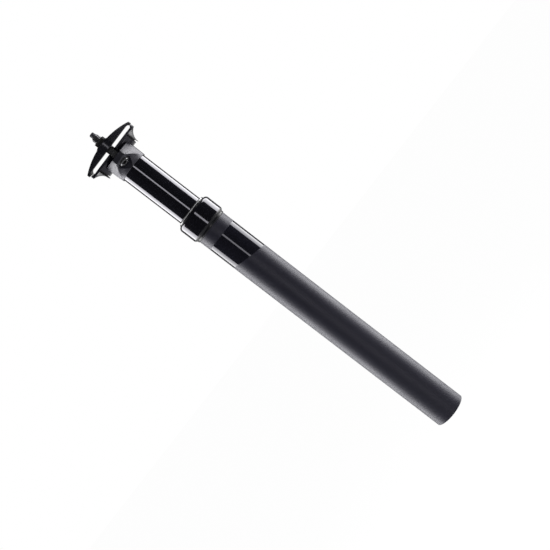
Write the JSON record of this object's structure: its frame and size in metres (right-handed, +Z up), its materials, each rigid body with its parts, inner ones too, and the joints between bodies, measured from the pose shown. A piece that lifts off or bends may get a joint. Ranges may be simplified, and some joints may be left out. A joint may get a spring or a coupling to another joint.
{
  "type": "dropper seatpost",
  "caption": "Telescoping bicycle seatpost: straight lower tube, seal collar, sliding upper tube and a tilting rail clamp held by a front and a rear bolt.",
  "frame": {"origin": "centre of the lower tube's bottom end", "axes": "+Z up along the post, +Y towards the rear of the bicycle, +X across the saddle rails"},
  "size_m": [0.0534, 0.049, 0.375],
  "materials": {
    "lower_tube": "satin black anodised aluminium",
    "seal_collar": "gloss black aluminium",
    "wiper_seal": "smooth black rubber",
    "upper_bushing": "dark grey bearing plastic",
    "release_body": "matt black anodised",
    "foot_clip": "spring steel",
    "lever_pin": "ground steel",
    "piston_rod": "polished hard chrome",
    "rod_lock_nut": "zinc plated",
    "piston": "turned aluminium",
    "piston_ring": "rubber",
    "stanchion": "gloss black aluminium",
    "head": "satin black anodised aluminium",
    "guide_keys": "drawn brass",
    "lower_slide_ring": "dark grey bearing plastic",
    "gas_cylinder": "drawn aluminium",
    "rod_guide": "turned aluminium",
    "rod_seal": "rubber",
    "top_out_bumper": "elastomer",
    "cylinder_plug": "turned aluminium",
    "cylinder_clip": "spring steel",
    "lower_cradle": "satin black anodised aluminium",
    "upper_clamp": "satin black anodised aluminium",
    "front_barrel_nut": "black oxide steel",
    "rear_barrel_nut": "black oxide steel",
    "front_washer": "black oxide steel",
    "rear_washer": "black oxide steel",
    "front_bolt": "black oxide steel",
    "rear_bolt": "black oxide steel",
    "release_lever": "machined aluminium",
    "release_pin": "ground steel"
  },
  "bodies": {
    "lower_post": {"lower_tube": "lower_tube", "seal_collar": "seal_collar", "wiper_seal": "wiper_seal", "upper_bushing": "upper_bushing", "release_body": "release_body", "foot_clip": "foot_clip", "lever_pin": "lever_pin", "piston_rod": "piston_rod", "rod_lock_nut": "rod_lock_nut", "piston": "piston", "piston_ring": "piston_ring"},
    "upper_post": {"stanchion": "stanchion", "head": "head", "guide_keys": "guide_keys", "lower_slide_ring": "lower_slide_ring", "gas_cylinder": "gas_cylinder", "rod_guide": "rod_guide", "rod_seal": "rod_seal", "top_out_bumper": "top_out_bumper", "cylinder_plug": "cylinder_plug", "cylinder_clip": "cylinder_clip"},
    "cradle": {"lower_cradle": "lower_cradle"},
    "top_clamp": {"upper_clamp": "upper_clamp"},
    "front_nut": {"front_barrel_nut": "front_barrel_nut"},
    "rear_nut": {"rear_barrel_nut": "rear_barrel_nut"},
    "front_washer": {"front_washer": "front_washer"},
    "rear_washer": {"rear_washer": "rear_washer"},
    "front_bolt": {"front_bolt": "front_bolt"},
    "rear_bolt": {"rear_bolt": "rear_bolt"},
    "lever": {"release_lever": "release_lever"},
    "release_pin": {"release_pin": "release_pin"}
  },
  "joints": [
    {"name": "dropper_slide", "type": "slide", "parent": "lower_post", "child": "upper_post", "axis": [0, 0, 1], "range_m": [-0.05, 0], "stiffness_N_per_m": 400, "springref_m": 0.1},
    {"name": "clamp_tilt", "type": "hinge", "parent": "upper_post", "child": "cradle", "pos_m": [0, 0, 0.352], "axis": [1, 0, 0], "range_deg": [-7, 7]},
    {"name": "clamp_open", "type": "slide", "parent": "cradle", "child": "top_clamp", "axis": [0, -0.1478, 0.989], "range_m": [0, 0.0034]},
    {"name": "lever_pull", "type": "hinge", "parent": "lower_post", "child": "lever", "pos_m": [0, 0.0035, 0.0171], "axis": [-1, 0, 0], "range_deg": [0, 18]},
    {"name": "pin_lift", "type": "slide", "parent": "lower_post", "child": "release_pin", "axis": [0, 0, 1], "range_m": [0, 0.0011], "stiffness_N_per_m": 100, "springref_m": -0.002},
    {"name": "front_washer_swing", "type": "hinge", "parent": "upper_post", "child": "front_washer", "pos_m": [0, -0.0195, 0.33196], "axis": [1, 0, 0], "range_deg": [-1.55, 1.55]},
    {"name": "front_bolt_swing", "type": "hinge", "parent": "front_washer", "child": "front_bolt", "pos_m": [0, -0.0195, 0.33196], "axis": [1, 0, 0], "range_deg": [0, 2.35]},
    {"name": "front_nut_turn", "type": "hinge", "parent": "top_clamp", "child": "front_nut", "pos_m": [0, -0.01122, 0.35942], "axis": [1, 0, 0], "range_deg": [-5.62, 5.62]},
    {"name": "rear_washer_swing", "type": "hinge", "parent": "upper_post", "child": "rear_washer", "pos_m": [0, 0.01971, 0.33203], "axis": [1, 0, 0], "range_deg": [-2.23, 2.23]},
    {"name": "rear_bolt_swing", "type": "hinge", "parent": "rear_washer", "child": "rear_bolt", "pos_m": [0, 0.01971, 0.33203], "axis": [1, 0, 0], "range_deg": [-0.974, 0]},
    {"name": "rear_nut_turn", "type": "hinge", "parent": "top_clamp", "child": "rear_nut", "pos_m": [0, 0.00856, 0.36238], "axis": [1, 0, 0], "range_deg": [-4.93, 4.93]}
  ],
  "couplings": [
    {"joint": "lever_pull", "follows": "pin_lift", "rad_per_m": 285.71},
    {"joint": "front_washer_swing", "follows": "clamp_tilt", "ratio": 0.21587},
    {"joint": "front_bolt_swing", "follows": "clamp_open", "rad_per_m": 11.61},
    {"joint": "front_nut_turn", "follows": "clamp_tilt", "ratio": -0.78413},
    {"joint": "rear_washer_swing", "follows": "clamp_tilt", "ratio": 0.31083},
    {"joint": "rear_bolt_swing", "follows": "clamp_open", "rad_per_m": -4.8826},
    {"joint": "rear_nut_turn", "follows": "clamp_tilt", "ratio": -0.68917}
  ]
}
